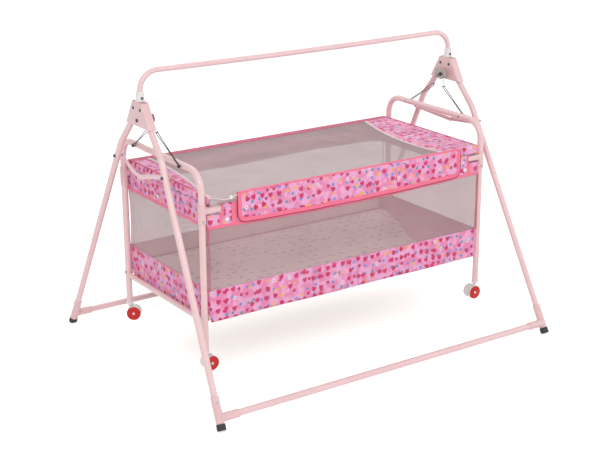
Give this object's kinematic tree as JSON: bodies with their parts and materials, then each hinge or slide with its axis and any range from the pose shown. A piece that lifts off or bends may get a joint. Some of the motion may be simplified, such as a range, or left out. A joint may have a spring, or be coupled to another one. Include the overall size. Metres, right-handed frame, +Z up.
{
  "type": "baby cradle",
  "caption": "Baby cradle of painted steel tube: a netted basket with a hinged net cover hangs on hooks and swings in a folding stand.",
  "frame": {"origin": "on the floor, under the middle of the stand's feet", "axes": "+X along the cradle to its right-hand end, +Y to the back, where the net cover is hinged, +Z up"},
  "size_m": [1.2168, 0.965, 0.9072],
  "materials": {
    "pink_paint": "gloss powder coat",
    "white_plastic": "gloss",
    "castor_wheel_plastic": "gloss, red outer faces on pale wheels",
    "black_rubber": "matt",
    "dark_steel": "dark wire",
    "grey_steel": "zinc plated",
    "printed_cloth": "printed woven polyester",
    "netting": "fine net",
    "mattress_cloth": "printed cotton",
    "board": "bare hardboard"
  },
  "bodies": {
    "stand_head": {"top_bar": "pink_paint", "bar_sleeve_left": "white_plastic", "bar_sleeve_right": "white_plastic", "head_bracket_left": "pink_paint", "head_bracket_right": "pink_paint", "pivot_bolt_left": "grey_steel", "pivot_bolt_right": "grey_steel"},
    "front_frame": {"base_bar_front": "pink_paint", "leg_front_left": "pink_paint", "leg_front_right": "pink_paint", "foot_socket_front_left": "pink_paint", "foot_socket_front_right": "pink_paint", "foot_tip_front_left": "black_rubber", "foot_tip_front_right": "black_rubber"},
    "front_stay_left": {"stay_front_left": "pink_paint"},
    "front_stay_right": {"stay_front_right": "pink_paint"},
    "back_frame": {"base_bar_back": "pink_paint", "leg_back_left": "pink_paint", "leg_back_right": "pink_paint", "foot_socket_back_left": "pink_paint", "foot_socket_back_right": "pink_paint", "foot_tip_back_left": "black_rubber", "foot_tip_back_right": "black_rubber"},
    "back_stay_left": {"stay_back_left": "pink_paint"},
    "back_stay_right": {"stay_back_right": "pink_paint"},
    "cradle": {"hoop_left": "pink_paint", "hoop_right": "pink_paint", "hanger_plate_left": "grey_steel", "hanger_plate_right": "grey_steel", "hook_front_left": "grey_steel", "hook_front_right": "grey_steel", "hook_back_left": "grey_steel", "hook_back_right": "grey_steel", "link_front_left": "dark_steel", "link_front_right": "dark_steel", "link_back_left": "dark_steel", "link_back_right": "dark_steel", "rail_bracket_front_left": "pink_paint", "rail_bracket_front_right": "pink_paint", "rail_bracket_back_left": "pink_paint", "rail_bracket_back_right": "pink_paint", "top_rail_front": "pink_paint", "top_rail_back": "pink_paint", "floor_rail_front": "pink_paint", "floor_rail_back": "pink_paint", "upper_band": "printed_cloth", "net_walls": "netting", "lower_band": "printed_cloth", "floor_board": "board", "mattress": "mattress_cloth"},
    "cover": {"net_cover": "netting", "cover_flap": "printed_cloth"},
    "castor_front_left": {"castor_body_front_left": "white_plastic"},
    "castor_wheels_front_left": {"castor_wheels_front_left": "castor_wheel_plastic"},
    "castor_front_right": {"castor_body_front_right": "white_plastic"},
    "castor_wheels_front_right": {"castor_wheels_front_right": "castor_wheel_plastic"},
    "castor_back_left": {"castor_body_back_left": "white_plastic"},
    "castor_wheels_back_left": {"castor_wheels_back_left": "castor_wheel_plastic"},
    "castor_back_right": {"castor_body_back_right": "white_plastic"},
    "castor_wheels_back_right": {"castor_wheels_back_right": "castor_wheel_plastic"}
  },
  "joints": [
    {"name": "front_leg_fold", "type": "hinge", "parent": "stand_head", "child": "front_frame", "pos_m": [0, -0.0205, 0.795], "axis": [1, 0, 0], "range_deg": [0, 28]},
    {"name": "back_leg_fold", "type": "hinge", "parent": "stand_head", "child": "back_frame", "pos_m": [0, 0.0205, 0.795], "axis": [1, 0, 0], "range_deg": [-28, 0]},
    {"name": "cradle_swing", "type": "hinge", "parent": "stand_head", "child": "cradle", "pos_m": [0, 0, 0.762], "axis": [1, 0, 0], "range_deg": [-15, 15]},
    {"name": "cover_open", "type": "hinge", "parent": "cradle", "child": "cover", "pos_m": [0, 0.2455, 0.5578], "axis": [-1, 0, 0], "range_deg": [0, 45]},
    {"name": "front_stay_left_fold", "type": "hinge", "parent": "front_frame", "child": "front_stay_left", "pos_m": [0, -0.14481, 0.628], "axis": [1, 0, 0], "range_deg": [-45.36, 0]},
    {"name": "back_stay_left_fold", "type": "hinge", "parent": "back_frame", "child": "back_stay_left", "pos_m": [0, 0.14481, 0.628], "axis": [1, 0, 0], "range_deg": [0, 127.57]},
    {"name": "front_stay_right_fold", "type": "hinge", "parent": "front_frame", "child": "front_stay_right", "pos_m": [0, -0.14481, 0.628], "axis": [1, 0, 0], "range_deg": [-136.84, 0]},
    {"name": "back_stay_right_fold", "type": "hinge", "parent": "back_frame", "child": "back_stay_right", "pos_m": [0, 0.14481, 0.628], "axis": [1, 0, 0], "range_deg": [0, 58.35]},
    {"name": "castor_swivel_front_left", "type": "hinge", "parent": "cradle", "child": "castor_front_left", "pos_m": [-0.504, -0.234, 0.12], "axis": [0, 0, 1], "continuous": true},
    {"name": "castor_roll_front_left", "type": "hinge", "parent": "castor_front_left", "child": "castor_wheels_front_left", "pos_m": [-0.492, -0.234, 0.092], "axis": [0, 1, 0], "continuous": true},
    {"name": "castor_swivel_front_right", "type": "hinge", "parent": "cradle", "child": "castor_front_right", "pos_m": [0.504, -0.234, 0.12], "axis": [0, 0, 1], "continuous": true},
    {"name": "castor_roll_front_right", "type": "hinge", "parent": "castor_front_right", "child": "castor_wheels_front_right", "pos_m": [0.492, -0.234, 0.092], "axis": [0, -1, 0], "continuous": true},
    {"name": "castor_swivel_back_left", "type": "hinge", "parent": "cradle", "child": "castor_back_left", "pos_m": [-0.504, 0.234, 0.12], "axis": [0, 0, 1], "continuous": true},
    {"name": "castor_roll_back_left", "type": "hinge", "parent": "castor_back_left", "child": "castor_wheels_back_left", "pos_m": [-0.49405, 0.22729, 0.092], "axis": [0.5592, 0.829, 0], "continuous": true},
    {"name": "castor_swivel_back_right", "type": "hinge", "parent": "cradle", "child": "castor_back_right", "pos_m": [0.504, 0.234, 0.12], "axis": [0, 0, 1], "continuous": true},
    {"name": "castor_roll_back_right", "type": "hinge", "parent": "castor_back_right", "child": "castor_wheels_back_right", "pos_m": [0.516, 0.234, 0.092], "axis": [0, 1, 0], "continuous": true}
  ],
  "couplings": [
    {"joint": "back_leg_fold", "follows": "front_leg_fold", "ratio": -1},
    {"joint": "front_stay_left_fold", "follows": "front_leg_fold", "ratio": -1.62},
    {"joint": "back_stay_left_fold", "follows": "front_leg_fold", "ratio": 4.556},
    {"joint": "front_stay_right_fold", "follows": "front_leg_fold", "ratio": -4.887},
    {"joint": "back_stay_right_fold", "follows": "front_leg_fold", "ratio": 2.084}
  ]
}
